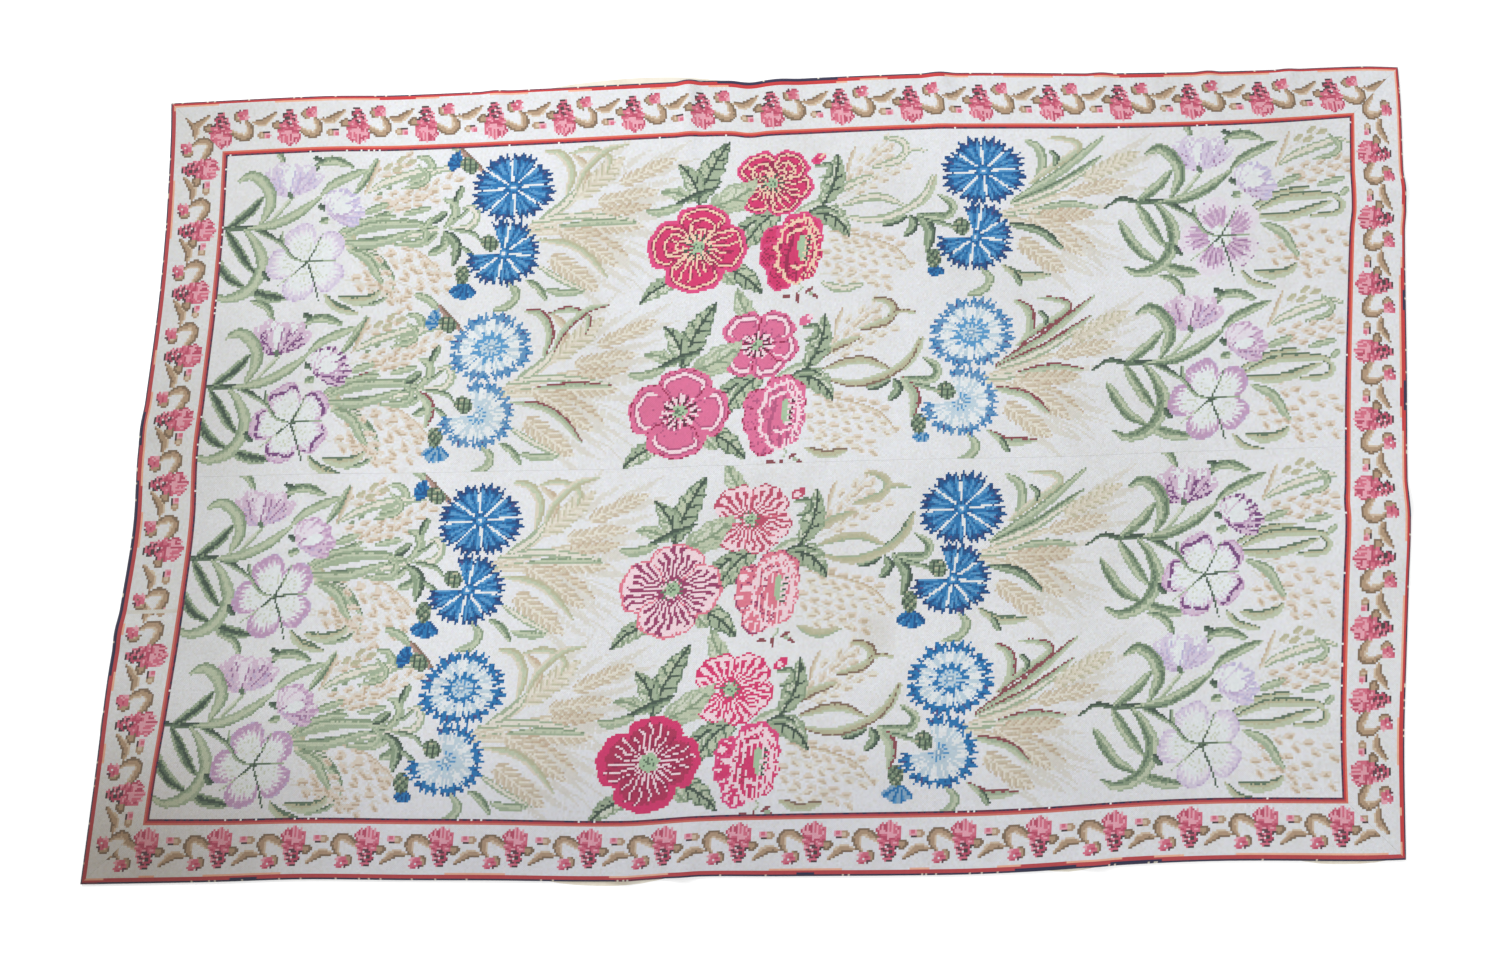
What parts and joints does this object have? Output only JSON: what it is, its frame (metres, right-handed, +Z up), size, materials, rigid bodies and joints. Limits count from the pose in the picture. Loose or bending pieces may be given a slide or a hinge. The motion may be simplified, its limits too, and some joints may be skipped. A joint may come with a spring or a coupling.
{
  "type": "needlepoint rug",
  "caption": "Rectangular wool needlepoint rug with a floral field, a mitred floral border and a linen lining, lying flat on the floor.",
  "frame": {"origin": "on the floor under the middle of the rug's box", "axes": "+X along the rug's length, +Y towards the far edge of the picture, +Z up"},
  "size_m": [2.554, 1.5658, 0.0168],
  "materials": {
    "field_wool": "matt wool tent stitch, off-white ground with flower sprays",
    "border_wool": "matt wool tent stitch, off-white ground with a carnation and scroll repeat between red lines",
    "lining_linen": "plain matt unbleached cloth"
  },
  "bodies": {
    "root": {"lining": "lining_linen", "field_panel_near": "field_wool", "field_panel_far": "field_wool", "border_near": "border_wool", "border_right": "border_wool", "border_far": "border_wool", "border_left": "border_wool"}
  },
  "joints": []
}
